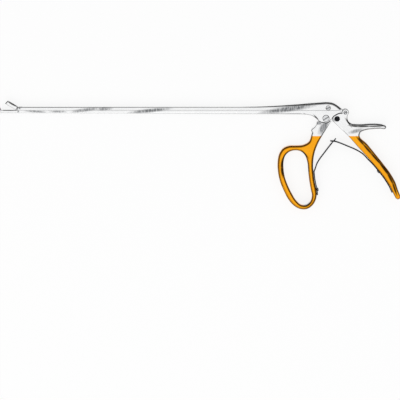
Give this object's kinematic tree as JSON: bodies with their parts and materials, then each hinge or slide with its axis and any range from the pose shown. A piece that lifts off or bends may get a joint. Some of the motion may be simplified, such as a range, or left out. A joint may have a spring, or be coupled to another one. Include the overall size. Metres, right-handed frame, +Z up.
{
  "type": "biopsy punch",
  "caption": "Long slender biopsy punch with a sliding shaft, a hinged window jaw over a toothed basket, a finger ring and a sprung gold-plated grip",
  "frame": {"origin": "bottom centre of the bounding box, on the surface the instrument lies on", "axes": "+X from the jaws to the handles, +Y from the finger ring to the shaft, +Z up through the instrument's thickness"},
  "size_m": [0.3084, 0.0838, 0.008],
  "materials": {
    "satin_steel": "satin to polished stainless steel",
    "pin_steel": "ground steel pin",
    "screw_steel": "turned and polished steel",
    "gold_plate": "gold-plated steel handle, bare steel above the gilding line",
    "black_screw": "blackened steel screw",
    "spring_steel": "oil-tempered dark spring steel leaf"
  },
  "bodies": {
    "body": {"lower_bar": "satin_steel", "rear_handle": "gold_plate", "pivot_screw": "screw_steel", "rear_handle_screw": "black_screw", "tail_screw": "screw_steel", "jaw_pivot_pin": "pin_steel", "rear_spring": "spring_steel", "rear_spring_screw": "screw_steel"},
    "ring_handle": {"front_handle": "gold_plate", "front_spring": "spring_steel", "front_spring_screw": "screw_steel"},
    "slide": {"top_bar": "satin_steel", "drive_screw": "screw_steel", "jaw_drive_pin": "pin_steel"},
    "jaw": {"upper_jaw": "satin_steel"}
  },
  "joints": [
    {"name": "handle_squeeze", "type": "hinge", "parent": "body", "child": "ring_handle", "pos_m": [0.0968, 0.02868, 0.004], "axis": [0, 0, 1], "range_deg": [0, 9.69], "stiffness_Nm_per_rad": 1.2, "springref_deg": -2.86, "deforming": ["front_spring", "rear_spring"]},
    {"name": "bar_slide", "type": "slide", "parent": "body", "child": "slide", "axis": [-1, 0, 0], "range_m": [0, 0.0014]},
    {"name": "jaw_close", "type": "hinge", "parent": "body", "child": "jaw", "pos_m": [-0.1401, 0.03373, 0.004], "axis": [0, 0, 1], "range_deg": [0, 30]}
  ],
  "couplings": [
    {"joint": "bar_slide", "follows": "handle_squeeze", "m_per_rad": 0.0082781},
    {"joint": "jaw_close", "follows": "handle_squeeze", "ratio": 3.096}
  ]
}
